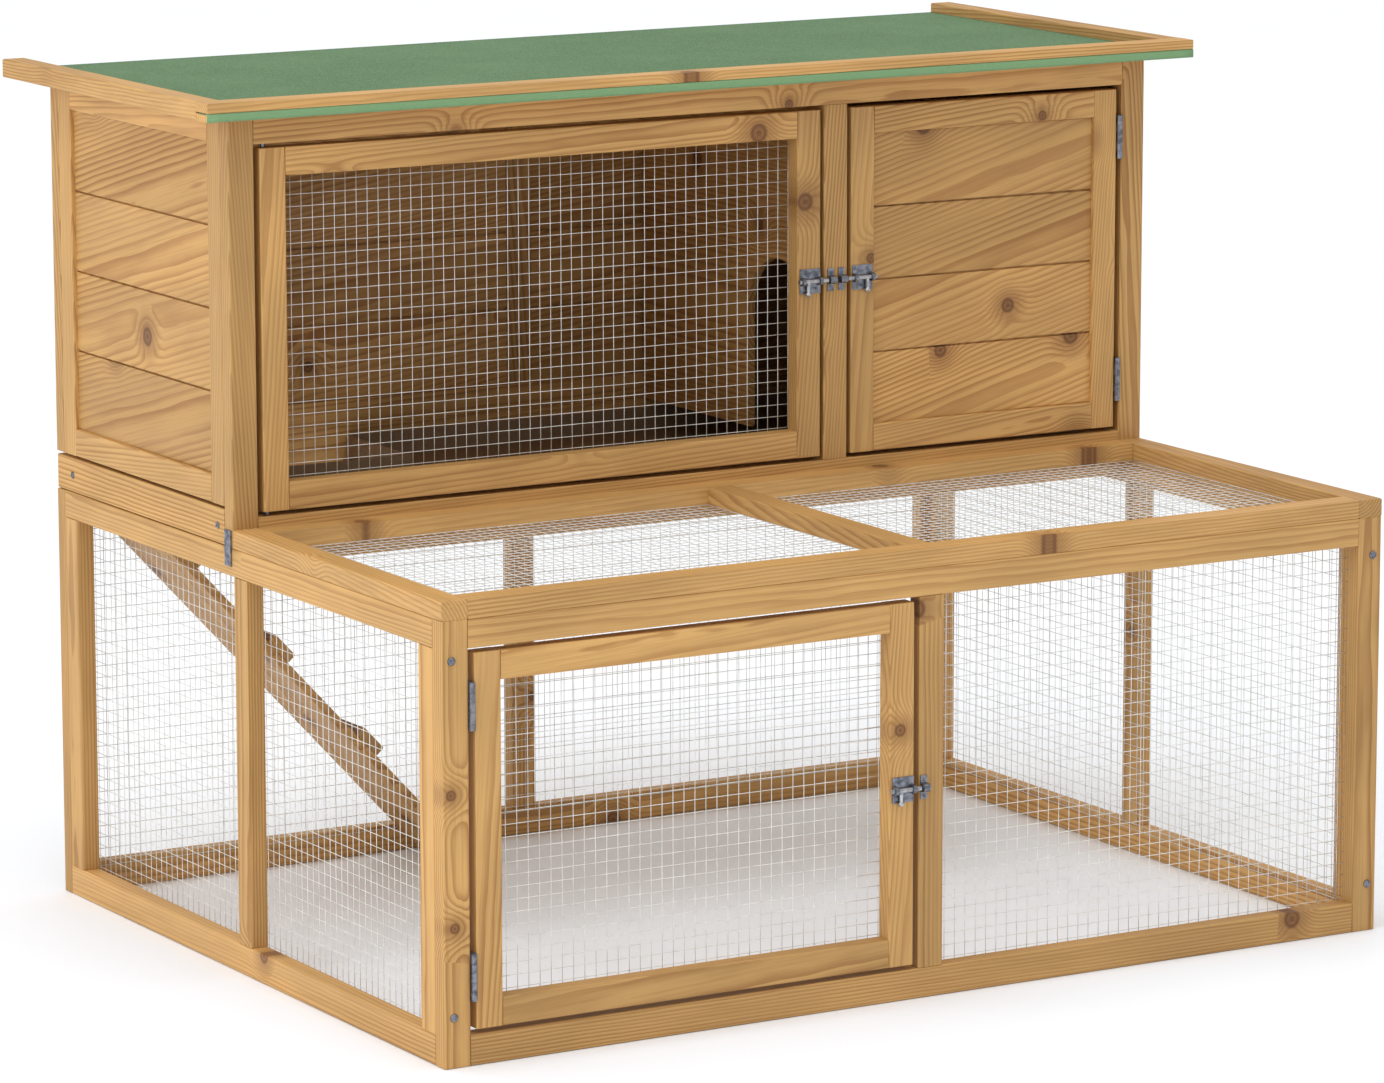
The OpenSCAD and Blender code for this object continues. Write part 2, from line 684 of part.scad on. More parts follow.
module roof_felt() color(green) {
  translate([0, 0, house_top + roof_board_t]) linear_extrude(felt_t)
    polygon([[rf_x0, rf_y0], [rf_x1, rf_y0], [rf_x1, rf_lip],
      [rf_x1 - roof_trim_w, rf_lip], [rf_x1 - roof_trim_w, rf_y1],
      [rf_x0 + roof_trim_w, rf_y1], [rf_x0 + roof_trim_w, rf_lip], [rf_x0, rf_lip]]);
  box([rf_x0, rf_y0, house_top], [rf_x1, rf_y0 + felt_t, house_top + roof_board_t]);
}

module roof_trims() color(wood) {
  z = house_top + roof_board_t + felt_t;
  y = rf_lip + joint;
  box([rf_x0, y, house_top], [rf_x0 + roof_trim_w, rf_y1, house_top + roof_trim_h]);
  box([rf_x1 - roof_trim_w, y, house_top], [rf_x1, rf_y1, house_top + roof_trim_h]);
  box([rf_x0, rf_y0, z], [rf_x1, rf_lip, house_top + roof_trim_h]);
}

// fixed leaves hang down the back wall, moving leaves lie under the overhang
module roof_fixed_leaves() color(steel) at_roof_hinges() rotate([-90, 0, 0])
  rotate([0, -90, 0]) leaf_fixed(roof_hinge_l);

module roof_leaves() color(steel) at_roof_hinges() rotate([0, -90, 0])
  leaf_moving(roof_hinge_l);

module roof_hinge_pins() color(steel) at_roof_hinges() rotate([0, -90, 0]) hinge_pin(roof_hinge_l);

place() run_front_frame();
place() run_left_frame();
place() run_right_frame();
place() run_back_frame();
place() run_front_mesh();
place() run_left_mesh();
place() run_right_mesh();
place() run_back_mesh();
place() run_corner_bolts();
place() lid_frame();
place() lid_mesh();
place() cross_rail();
place() floor_battens();
place() house_front_frame();
place() house_left_frame();
place() house_left_boards();
place() house_right_frame();
place() house_right_boards();
place() house_back_frame();
place() house_back_boards();
place() house_base_rail();
place() house_floor();
place() house_divider();
place() tie_plates();
place() hinge_fixed_leaves();
place() hinge_pins();
place() bolt_keepers();
place() mesh_door_pivots();
place() run_door_frame();
place() run_door_mesh();
place() run_door_leaves();
place() run_bolt_plate();
place() run_bolt();
place() mesh_door_frame();
place() mesh_door_mesh();
place() mesh_bolt_plate();
place() mesh_bolt();
place() solid_door_frame();
place() solid_door_boards();
place() solid_door_leaves();
place() solid_bolt_plate();
place() solid_bolt();
place() tray_pan();
place() tray_front();
place() tray_screws();
place() ramp_board();
place() ramp_treads();
place() ramp_fixed_leaf();
place() ramp_leaf();
place() ramp_hinge_pin();
place() roof_board();
place() roof_felt();
place() roof_trims();
place() roof_fixed_leaves();
place() roof_leaves();
place() roof_hinge_pins();
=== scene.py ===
import bmesh
import bpy
import json
import math
import random
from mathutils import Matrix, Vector


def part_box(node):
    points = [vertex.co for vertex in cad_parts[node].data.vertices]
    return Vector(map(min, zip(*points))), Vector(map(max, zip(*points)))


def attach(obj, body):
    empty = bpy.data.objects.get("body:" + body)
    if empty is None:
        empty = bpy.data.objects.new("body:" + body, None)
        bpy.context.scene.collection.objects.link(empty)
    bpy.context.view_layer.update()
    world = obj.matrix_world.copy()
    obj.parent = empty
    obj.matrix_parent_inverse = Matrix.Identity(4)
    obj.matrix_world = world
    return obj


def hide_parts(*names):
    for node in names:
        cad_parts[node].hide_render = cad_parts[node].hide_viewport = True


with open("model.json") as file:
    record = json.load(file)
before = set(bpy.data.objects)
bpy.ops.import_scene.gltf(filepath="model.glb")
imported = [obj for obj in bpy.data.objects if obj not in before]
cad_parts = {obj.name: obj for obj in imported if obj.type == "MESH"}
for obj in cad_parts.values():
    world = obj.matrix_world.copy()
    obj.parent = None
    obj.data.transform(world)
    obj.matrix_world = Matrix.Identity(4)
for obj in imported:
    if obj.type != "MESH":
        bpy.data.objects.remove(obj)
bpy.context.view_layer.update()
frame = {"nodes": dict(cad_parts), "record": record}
nodes = frame["nodes"]
bodyOf = {n: b for b, names in frame["record"]["behaviour"]["bodies"].items() for n in names}
slotOf = {s["node"]: s["material_slot"] for s in frame["record"]["subparts"]}
print("frame loaded:", len(nodes), "nodes")


# shader helpers
class Net:
    def __init__(self, tree):
        self.tree = tree

    def node(self, kind, values=None, **props):
        made = self.tree.nodes.new(kind)
        for k, v in props.items():
            setattr(made, k, v)
        for k, v in (values or {}).items():
            self.put(made.inputs[k], v)
        return made

    def put(self, socket, value):
        if isinstance(value, bpy.types.NodeSocket):
            self.tree.links.new(value, socket)
        else:
            socket.default_value = value

    def math(self, op, a, b=0.0, c=0.0, clamp=False):
        made = self.tree.nodes.new("ShaderNodeMath")
        made.operation, made.use_clamp = op, clamp
        for socket, value in zip(made.inputs, (a, b, c)):
            self.put(socket, value)
        return made.outputs[0]

    def mix(self, fac, a, b, blend="MIX"):
        made = self.tree.nodes.new("ShaderNodeMix")
        made.data_type, made.blend_type, made.clamp_factor = "RGBA", blend, True
        for socket, value in zip((made.inputs[0], made.inputs[6], made.inputs[7]), (fac, a, b)):
            self.put(socket, value)
        return made.outputs[2]

    def ramp(self, value, low, high, to0=0.0, to1=1.0):
        made = self.node("ShaderNodeMapRange", interpolation_type="SMOOTHSTEP")
        for i, v in enumerate((value, low, high, to0, to1)):
            self.put(made.inputs[i], v)
        return made.outputs[0]

    def noise(self, vector, scale, detail=3.0, rough=0.5, distortion=0.0):
        made = self.node("ShaderNodeTexNoise", {"Scale": scale, "Detail": detail,
            "Roughness": rough, "Distortion": distortion, "Vector": vector})
        return made.outputs[0]

    def stretch(self, vector, x, y, z):
        made = self.node("ShaderNodeMapping", {"Vector": vector, "Scale": (x, y, z)})
        return made.outputs[0]


def shaderGroup(name, inputs, outputs):
    tree = bpy.data.node_groups.new(name, "ShaderNodeTree")
    for label, kind, value in inputs:
        socket = tree.interface.new_socket(label, in_out="INPUT", socket_type=kind)
        if value is not None:
            socket.default_value = value
    for label, kind in outputs:
        tree.interface.new_socket(label, in_out="OUTPUT", socket_type=kind)
    net = Net(tree)
    return net, net.node("NodeGroupInput").outputs, net.node("NodeGroupOutput").inputs


colorSocket, floatSocket, vectorSocket = "NodeSocketColor", "NodeSocketFloat", "NodeSocketVector"


grainShape = {
    "knotPlaces": 7.5,  # places for a knot, per metre
    "knotRadius": 0.0055,  # smallest knot, metres
    "knotSpread": 0.006,  # how much larger a knot may be
    "lumpWidth": 0.021,  # how far the grain bends around a knot
    "lumpRise": 0.017,
    "warp": 0.012,  # slow wander of the rings
    "fineWarp": 0.0034,  # quick wander of the rings
}


def makePineGroup():
    net, given, out = shaderGroup("pineGrain", [
        ("Coord", vectorSocket, None), ("Seed", floatSocket, 0.5),
        ("Ring Spacing", floatSocket, 0.0042),
        ("Knot Share", floatSocket, 0.4), ("Early Wood", colorSocket, (0.66, 0.41, 0.17, 1)),
        ("Late Wood", colorSocket, (0.42, 0.20, 0.065, 1)),
        ("Knot", colorSocket, (0.16, 0.06, 0.02, 1))],
        [("Color", colorSocket), ("Height", floatSocket), ("Roughness", floatSocket)])
    coord = given["Coord"]
    sep = net.node("ShaderNodeSeparateXYZ", {"Vector": coord})
    u, v, w = sep.outputs
    face = net.node("ShaderNodeCombineXYZ", {"X": u, "Y": v})
    knots = net.node("ShaderNodeTexVoronoi", {"Vector": face.outputs[0],
        "Scale": grainShape["knotPlaces"], "Randomness": 0.9},
        voronoi_dimensions="2D", feature="F1")
    far = net.math("DIVIDE", knots.outputs["Distance"],
        grainShape["knotPlaces"])  # metres from the knot's middle
    chance = net.node("ShaderNodeSeparateColor", {"Color": knots.outputs["Color"]})
    present = net.math("LESS_THAN", chance.outputs[0], given["Knot Share"])
    size = net.math("MULTIPLY_ADD", chance.outputs[1], grainShape["knotSpread"],
        grainShape["knotRadius"])
    near = net.math("DIVIDE", far, size)
    lump = net.math("MULTIPLY", present, net.math("EXPONENT", net.math("MULTIPLY",
        net.math("POWER", net.math("DIVIDE", far, grainShape["lumpWidth"]), 2.0), -1.0)))
    slow = net.noise(net.stretch(coord, 0.8, 7.0, 7.0), 1.0, 2.0)
    warp = net.math("MULTIPLY_ADD", slow, grainShape["warp"], -grainShape["warp"] / 2)
    quick = net.noise(net.stretch(coord, 9.0, 60.0, 60.0), 1.0, 2.0)
    fine = net.math("MULTIPLY_ADD", quick, grainShape["fineWarp"], -grainShape["fineWarp"] / 2)
    across = net.node("ShaderNodeCombineXYZ", {"X": v, "Y": w})
    length = net.node("ShaderNodeVectorMath", {0: across.outputs[0]}, operation="LENGTH")
    radius = net.math("ADD", net.math("ADD", length.outputs["Value"], warp),
        net.math("ADD", fine, net.math("MULTIPLY", lump, grainShape["lumpRise"])))
    phase = net.math("FRACT", net.math("DIVIDE", radius, given["Ring Spacing"]))
    late = net.math("MULTIPLY", net.ramp(phase, 0.30, 0.90), net.ramp(phase, 1.0, 0.93))
    streak = net.noise(net.stretch(coord, 7.0, 420.0, 420.0), 1.0, 3.0, 0.6)
    broad = net.noise(net.stretch(coord, 1.1, 16.0, 16.0), 1.0, 3.0, 0.55)
    lateShare = net.math("MULTIPLY", late, net.ramp(broad, 0.25, 0.72, 0.30, 0.95))
    tint = net.mix(lateShare, given["Early Wood"], given["Late Wood"])
    tint = net.mix(net.ramp(streak, 0.42, 0.72, 0.0, 0.34), tint, given["Late Wood"])
    halo = net.math("MULTIPLY", present, net.ramp(near, 3.4, 0.8, 0.0, 0.55))
    tint = net.mix(halo, tint, net.mix(0.55, given["Late Wood"], given["Knot"]))
    rings = net.math("MULTIPLY_ADD", net.math("SINE", net.math("MULTIPLY", near, 11.0)), 0.16, 0.72)
    core = net.math("MULTIPLY", net.math("MULTIPLY", present, net.ramp(near, 1.15, 0.80)), rings)
    tint = net.mix(core, tint, given["Knot"])
    # per-board tone; on the ramp's boards it is lowered as painted shade
    tone = net.math("MULTIPLY_ADD", given["Seed"], 0.26, 0.87)
    patches = net.noise(net.stretch(coord, 5.0, 14.0, 14.0), 1.0, 3.0)
    blotch = net.ramp(patches, 0.3, 0.75, 0.90, 1.09)
    shade = net.math("MULTIPLY", tone, blotch)
    tinted = net.node("ShaderNodeVectorMath", {0: tint}, operation="SCALE")
    net.put(tinted.inputs["Scale"], shade)
    net.put(out["Color"], tinted.outputs["Vector"])
    grain = net.math("MULTIPLY_ADD", streak, 0.5, net.math("MULTIPLY", late, 0.35))
    net.put(out["Height"], net.math("SUBTRACT", grain, net.math("MULTIPLY", core, 0.6)))
    net.put(out["Roughness"], net.ramp(broad, 0.2, 0.8, 0.44, 0.60))
    return net.tree


def makeZincGroup():
    net, given, out = shaderGroup("zincPlate", [
        ("Coord", vectorSocket, None), ("Bright", colorSocket, (0.60, 0.61, 0.64, 1)),
        ("Dull", colorSocket, (0.36, 0.37, 0.41, 1)), ("Patch Scale", floatSocket, 160.0)],
        [("Color", colorSocket), ("Height", floatSocket), ("Roughness", floatSocket)])
    patch = net.noise(given["Coord"], given["Patch Scale"], 4.0, 0.6)
    scratch = net.noise(net.stretch(given["Coord"], 3200.0, 260.0, 900.0), 1.0, 2.0)
    net.put(out["Color"], net.mix(net.ramp(patch, 0.35, 0.68), given["Bright"], given["Dull"]))
    net.put(out["Height"], net.math("MULTIPLY_ADD", patch, 0.6, net.math("MULTIPLY", scratch, 0.4)))
    net.put(out["Roughness"], net.ramp(net.math("ADD", patch, net.math("MULTIPLY", scratch, 0.3)),
        0.4, 0.9, 0.26, 0.52))
    return net.tree


def makeFeltGroup():
    net, given, out = shaderGroup("mineralFelt", [
        ("Coord", vectorSocket, None), ("Grit", colorSocket, (0.112, 0.205, 0.100, 1)),
        ("Pale Grit", colorSocket, (0.20, 0.32, 0.18, 1)),
        ("Dark Grit", colorSocket, (0.05, 0.10, 0.05, 1)),
        ("Painted Light", floatSocket, 0.0), ("Painted Light Grit", colorSocket, (0.22, 0.38, 0.19, 1))],
        [("Color", colorSocket), ("Height", floatSocket), ("Roughness", floatSocket)])
    grains = net.node("ShaderNodeTexVoronoi", {"Vector": given["Coord"], "Scale": 900.0},
        feature="F1")
    chance = net.node("ShaderNodeSeparateColor", {"Color": grains.outputs["Color"]})
    patch = net.noise(given["Coord"], 9.0, 4.0, 0.6)
    pale = net.ramp(chance.outputs[0], 0.62, 0.95, 0.0, 0.8)
    tint = net.mix(pale, given["Grit"], given["Pale Grit"])
    tint = net.mix(net.ramp(chance.outputs[1], 0.72, 0.98, 0.0, 0.8), tint, given["Dark Grit"])
    tint = net.mix(net.ramp(patch, 0.35, 0.75, 0.0, 0.22), tint, given["Pale Grit"])
    # painted light: the turned-down front edge takes a brighter colour, as if lit from the front
    tint = net.mix(given["Painted Light"], tint, given["Painted Light Grit"])
    net.put(out["Color"], tint)
    net.put(out["Height"], net.math("SUBTRACT", 1.0, grains.outputs["Distance"]))
    net.put(out["Roughness"], net.ramp(chance.outputs[2], 0.0, 1.0, 0.72, 0.95))
    return net.tree


def makeSheetGroup():
    net, given, out = shaderGroup("cellSheet", [
        ("Coord", vectorSocket, None), ("Sheet", colorSocket, (0.50, 0.51, 0.52, 1)),
        ("Cell", colorSocket, (0.66, 0.67, 0.68, 1)), ("Cell Scale", floatSocket, 90.0)],
        [("Color", colorSocket), ("Height", floatSocket), ("Roughness", floatSocket)])
    warped = net.node("ShaderNodeVectorMath", operation="MULTIPLY_ADD")
    noise = net.node("ShaderNodeTexNoise", {"Vector": given["Coord"], "Scale": 40.0})
    for socket, value in zip(warped.inputs, (noise.outputs["Color"], (0.01,) * 3, given["Coord"])):
        net.put(socket, value)
    cells = net.node("ShaderNodeTexVoronoi", {"Vector": warped.outputs[0],
        "Scale": given["Cell Scale"]}, feature="F1")
    chance = net.node("ShaderNodeSeparateColor", {"Color": cells.outputs["Color"]})
    net.put(out["Color"], net.mix(chance.outputs[0], given["Sheet"], given["Cell"]))
    net.put(out["Height"], chance.outputs[1])
    net.put(out["Roughness"], net.ramp(chance.outputs[2], 0.0, 1.0, 0.34, 0.52))
    return net.tree


effects = {"pine": makePineGroup(), "zinc": makeZincGroup(), "felt": makeFeltGroup(),
    "sheet": makeSheetGroup()}


def makeMaterial(name, group, values, metallic=0.0, bump=0.2, bumpDepth=0.0004, fromGrain=False,
        specular=0.4, masks=()):
    material = bpy.data.materials.new(name)
    material.use_nodes = True
    tree = material.node_tree
    tree.nodes.clear()
    net = Net(tree)
    effect = net.node("ShaderNodeGroup", node_tree=effects[group])
    for k, v in values.items():
        effect.inputs[k].default_value = v
    if fromGrain:
        coord = net.node("ShaderNodeAttribute", attribute_name="grainCoord").outputs["Vector"]
        toneAndShade = net.node("ShaderNodeAttribute", attribute_name="boardToneAndShade").outputs["Fac"]
        net.put(effect.inputs["Seed"], toneAndShade)
    else:
        coord = net.node("ShaderNodeTexCoord").outputs["Object"]
    net.put(effect.inputs["Coord"], coord)
    for label, attribute in masks:
        mask = net.node("ShaderNodeAttribute", attribute_name=attribute)
        net.put(effect.inputs[label], mask.outputs["Fac"])
    shader = net.node("ShaderNodeBsdfPrincipled", {"Metallic": metallic,
        "Specular IOR Level": specular})
    net.put(shader.inputs["Base Color"], effect.outputs["Color"])
    net.put(shader.inputs["Roughness"], effect.outputs["Roughness"])
    relief = net.node("ShaderNodeBump", {"Strength": bump, "Distance": bumpDepth})
    net.put(relief.inputs["Height"], effect.outputs["Height"])
    net.put(shader.inputs["Normal"], relief.outputs[0])
    output = net.node("ShaderNodeOutputMaterial")
    net.put(output.inputs["Surface"], shader.outputs[0])
    return material


pineLook = {
    "ringSpacing": 0.0036,  # metres between growth rings
    "knotShare": 0.24,  # share of the places that hold a knot
    "early": (0.600, 0.350, 0.122, 1),
    "late": (0.36, 0.168, 0.046, 1),
    "knot": (0.15, 0.055, 0.018, 1),
}
boardLook = {
    "ringSpacing": 0.0052,
    "knotShare": 0.42,
    "early": (0.600, 0.344, 0.116, 1),
    "late": (0.36, 0.156, 0.042, 1),
    "knot": (0.13, 0.048, 0.016, 1),
}


def pineMaterial(name, look):
    return makeMaterial(name, "pine", {"Ring Spacing": look["ringSpacing"],
        "Knot Share": look["knotShare"], "Early Wood": look["early"], "Late Wood": look["late"],
        "Knot": look["knot"]}, bump=0.35, bumpDepth=0.0003, fromGrain=True, specular=0.35)


metalLook = {
    "zincBright": (0.27, 0.28, 0.32, 1),
    "zincDull": (0.13, 0.14, 0.17, 1),
    "rodBright": (0.56, 0.57, 0.59, 1),
    "rodDull": (0.32, 0.33, 0.35, 1),
    "wireBright": (0.86, 0.86, 0.83, 1),
    "wireDull": (0.64, 0.64, 0.61, 1),
}
feltTint = {
    "Grit": (0.112, 0.205, 0.100, 1),
    "Pale Grit": (0.20, 0.32, 0.18, 1),
    "Dark Grit": (0.05, 0.10, 0.05, 1),
    "Painted Light Grit": (0.22, 0.38, 0.19, 1),  # painted light: the edge turned down at the front is coloured brighter, as if lit from the front
}
trayLook = {
    "sheet": (0.27, 0.180, 0.105, 1),
    "cell": (0.33, 0.225, 0.135, 1),
    "cellScale": 700.0,  # grains of the moulded surface, per metre
}
finishes = {
    "pine": pineMaterial("pineStained", pineLook),
    "pine_boards": pineMaterial("pineBoardStained", boardLook),
    "zinc": makeMaterial("zincPlated", "zinc", {"Bright": metalLook["zincBright"],
        "Dull": metalLook["zincDull"]}, metallic=0.9, bump=0.2, bumpDepth=0.0001),
    "bolt_rods": makeMaterial("boltRodBright", "zinc", {"Bright": metalLook["rodBright"],
        "Dull": metalLook["rodDull"]}, metallic=1.0, bump=0.15, bumpDepth=0.0001),
    "wire": makeMaterial("wireGalvanised", "zinc", {"Bright": metalLook["wireBright"],
        "Dull": metalLook["wireDull"], "Patch Scale": 60.0}, metallic=0.3, bump=0.2,
        bumpDepth=0.0001),
    "tray": makeMaterial("trayPlastic", "sheet", {"Sheet": trayLook["sheet"],
        "Cell": trayLook["cell"], "Cell Scale": trayLook["cellScale"]}, bump=0.25,
        bumpDepth=0.0002),
    "felt": makeMaterial("roofFelt", "felt", feltTint, bump=0.7, bumpDepth=0.0008, specular=0.25,
        masks=[("Painted Light", "paintedLightMask")]),
}
print("materials made:", len(finishes))


# mesh helpers
# the loose solids of a CAD node, each as (points, faces)
def islandsOf(node):
    mesh = nodes[node].data
    keys, remap = {}, []
    for v in mesh.vertices:
        remap.append(keys.setdefault(tuple(round(c, 6) for c in v.co), len(keys)))
    points = [Vector(k) for k in keys]
    parent = list(range(len(points)))

    def root(a):
        while parent[a] != a:
            parent[a] = parent[parent[a]]
            a = parent[a]
        return a

    faces = [[remap[i] for i in p.vertices] for p in mesh.polygons]
    for f in faces:
        for a in f[1:]:
            parent[root(a)] = root(f[0])
    groups = {}
    for f in faces:
        groups.setdefault(root(f[0]), []).append(f)
    found = []
    for group in groups.values():
        used = sorted({i for f in group for i in f})
        place = {old: new for new, old in enumerate(used)}
        clean = [[place[i] for i in f] for f in group]
        found.append(([points[i] for i in used], [f for f in clean if len(set(f)) == len(f)]))
    return sorted(found, key=lambda g: tuple(round(min(p[k] for p in g[0]), 4) for k in range(3)))


def boxOf(points):
    return (Vector([min(p[k] for p in points) for k in range(3)]),
        Vector([max(p[k] for p in points) for k in range(3)]))


def addPiece(name, bm, slot, body, replaced=(), smooth=False):
    mesh = bpy.data.meshes.new(name)
    bm.to_mesh(mesh)
    bm.free()
    if smooth:
        mesh.shade_smooth()
    made = bpy.data.objects.new(name, mesh)
    bpy.context.scene.collection.objects.link(made)
    mesh.materials.append(finishes[slot])
    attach(made, body)
    if replaced:
        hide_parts(*replaced)
    return made


# timber: every member of a CAD node becomes a planed board with eased edges
timberLook = {
    "easedEdge": 0.0016,  # rounding along a member, metres
    "easedEnd": 0.0004,  # rounding across a member's end
    "sharp": 0.45,  # an edge is eased if its faces turn more than this, radians
    "pithSide": 0.05,  # the tree's middle lies this far to either side of a board
    "pithNear": 0.02,  # and between these depths below or above it
    "pithFar": 0.055,
    "paintedShade": {"ramp_board": 1.0, "ramp_treads": 1.0},  # painted shade: these boards are darkened to stand for the shade under the house
}
grainAlong = {"house_divider": Vector((0, 1, 0))}
plainNodes = ("run_front_frame", "run_back_frame", "run_left_frame", "run_right_frame",
    "tray_front")
boxFaces = [[0, 2, 3, 1], [4, 5, 7, 6], [0, 1, 5, 4], [2, 6, 7, 3], [0, 4, 6, 2], [1, 3, 7, 5]]


# the same member without its screw holes, which the heads cover
def plainMember(points):
    lo, hi = boxOf(points)
    corners = [Vector((x, y, z)) for x in (lo.x, hi.x) for y in (lo.y, hi.y) for z in (lo.z, hi.z)]
    return corners, boxFaces


def woodBoard(bm, points, faces, along, rng, edge, paintedShade=0.0):
    board = bmesh.new()
    made = [board.verts.new(p) for p in points]
    for f in faces:
        try:
            board.faces.new([made[i] for i in f])
        except ValueError:
            continue
    bmesh.ops.dissolve_limit(board, angle_limit=math.radians(1.0), verts=board.verts[:],
        edges=board.edges[:])
    bmesh.ops.recalc_face_normals(board, faces=board.faces[:])
    if along is None:
        longest = max(board.edges, key=lambda e: e.calc_length())
        along = (longest.verts[1].co - longest.verts[0].co).normalized()
        if max(along, key=abs) < 0:
            along = -along
    flat = max(board.faces, key=lambda f: f.calc_area()).normal.copy()
    flat = (flat - along * flat.dot(along)).normalized()
    side = flat.cross(along)
    middle = sum((v.co for v in board.verts), Vector()) / len(board.verts)

    def convex(e):
        return len(e.link_faces) == 2 and e.is_convex and e.calc_face_angle() > timberLook["sharp"]

    def runsAlong(e):
        return abs((e.verts[1].co - e.verts[0].co).normalized().dot(along)) > 0.95

    def atEnd(e):
        return sum(abs(f.normal.dot(along)) > 0.9 for f in e.link_faces) == 1

    rims = [e for e in board.edges if convex(e) and runsAlong(e)]
    bmesh.ops.bevel(board, geom=rims, offset=edge, segments=3, profile=0.5, affect="EDGES",
        clamp_overlap=True)
    ends = [e for e in board.edges if len(e.link_faces) == 2 and e.is_convex and atEnd(e)
        and e.calc_face_angle() > timberLook["sharp"]]
    if ends:
        bmesh.ops.bevel(board, geom=ends, offset=timberLook["easedEnd"], segments=1,
            affect="EDGES", clamp_overlap=True)
    bmesh.ops.dissolve_degenerate(board, dist=2e-6, edges=board.edges[:])
    shift = rng.uniform(0, 60)
    pith = Vector((rng.uniform(-timberLook["pithSide"], timberLook["pithSide"]),
        rng.choice((-1, 1)) * rng.uniform(timberLook["pithNear"], timberLook["pithFar"])))
    # painted shade: the ramp's boards get a lower tone, standing for the shade under the house
    toneAndShade = rng.random() - paintedShade
    coord = board.verts.layers.float_vector.new("grainCoord")
    tone = board.verts.layers.float.new("boardToneAndShade")
    for v in board.verts:
        r = v.co - middle
        v[coord] = (r.dot(along) + shift, r.dot(side) + pith.x, r.dot(flat) + pith.y)
        v[tone] = toneAndShade
    mesh = bpy.data.meshes.new("board")
    board.to_mesh(mesh)
    board.free()
    bm.from_mesh(mesh)
    bpy.data.meshes.remove(mesh)


woodNodes = [n for n in nodes if slotOf[n] in ("pine", "pine_boards")]
for index, node in enumerate(sorted(woodNodes)):
    rng = random.Random(4100 + index)
    bm = bmesh.new()
    for points, faces in islandsOf(node):
        if node in plainNodes:
            points, faces = plainMember(points)
        woodBoard(bm, points, faces, grainAlong.get(node), rng, timberLook["easedEdge"],
            timberLook["paintedShade"].get(node, 0.0))
    addPiece(node + ".timber", bm, slotOf[node], bodyOf[node], [node])
print("timber made:", len(woodNodes), "nodes")


# wire panels: every wire of the mesh, welded in one plane
wireLook = {
    "pitch": 0.013,  # metres between wires
    "radius": 0.00040,
    "bend": 0.00022,  # how far a wire strays in its plane
    "sides": 6,
    "length": 0.055,  # metres between the bends of a wire
    "lift": 0.0001,  # the two layers lie this far from the middle
    "inset": 0.0006,  # the outer wires stand in from the edge
    "closest": 0.004,  # no inner wire comes nearer to the edge
}


def addWire(bm, start, end, normal, rng):
    along = (end - start).normalized()
    sideways = along.cross(normal)
    count = max(2, round((end - start).length / wireLook["length"]))
    rings = []
    for k in range(count + 1):
        middle = start.lerp(end, k / count)
        if 0 < k < count:
            middle = middle + sideways * rng.uniform(-1, 1) * wireLook["bend"]
        ring = []
        for s in range(wireLook["sides"]):
            a = 2 * math.pi * s / wireLook["sides"]
            ring.append(bm.verts.new(middle + (sideways * math.cos(a) + normal * math.sin(a))
                * wireLook["radius"]))
        rings.append(ring)
    for low, high in zip(rings, rings[1:]):
        for s in range(wireLook["sides"]):
            t = (s + 1) % wireLook["sides"]
            bm.faces.new((low[s], low[t], high[t], high[s]))
    bm.faces.new(rings[0][::-1])
    bm.faces.new(rings[-1])


def wirePlaces(low, high, pitch):
    inset, closest = wireLook["inset"], wireLook["closest"]
    places = [low + inset]
    p = low + pitch / 2 + inset
    while p < high - closest:
        if p > low + closest:
            places.append(p)
        p += pitch
    return places + [high - inset]


wireNodes = [n for n in nodes if slotOf[n] == "wire"]
for index, node in enumerate(sorted(wireNodes)):
    rng = random.Random(2000 + index)
    bm = bmesh.new()
    for points, faces in islandsOf(node):
        lo, hi = boxOf(points)
        thin = min(range(3), key=lambda k: hi[k] - lo[k])
        a, b = [k for k in range(3) if k != thin]
        normal = Vector([float(k == thin) for k in range(3)])
        depth = (lo[thin] + hi[thin]) / 2
        for first, lift in ((a, wireLook["lift"]), (b, -wireLook["lift"])):
            for p in wirePlaces(lo[first], hi[first], wireLook["pitch"]):
                start, end = Vector(lo), Vector(hi)
                start[first] = end[first] = p
                start[thin] = end[thin] = depth + lift
                addWire(bm, start, end, normal, rng)
    addPiece(node + ".wires", bm, "wire", bodyOf[node], [node], smooth=True)
print("wire panels made:", len(wireNodes))


# roof felt: one sheet over the deck, turned down over the front edge
feltLook = {
    "waviness": 0.0006,  # how far the sheet rises and falls, metres
    "cell": 0.016,  # size of a facet
    "thickness": 0.0012,  # metres
    "waves": 7,
}


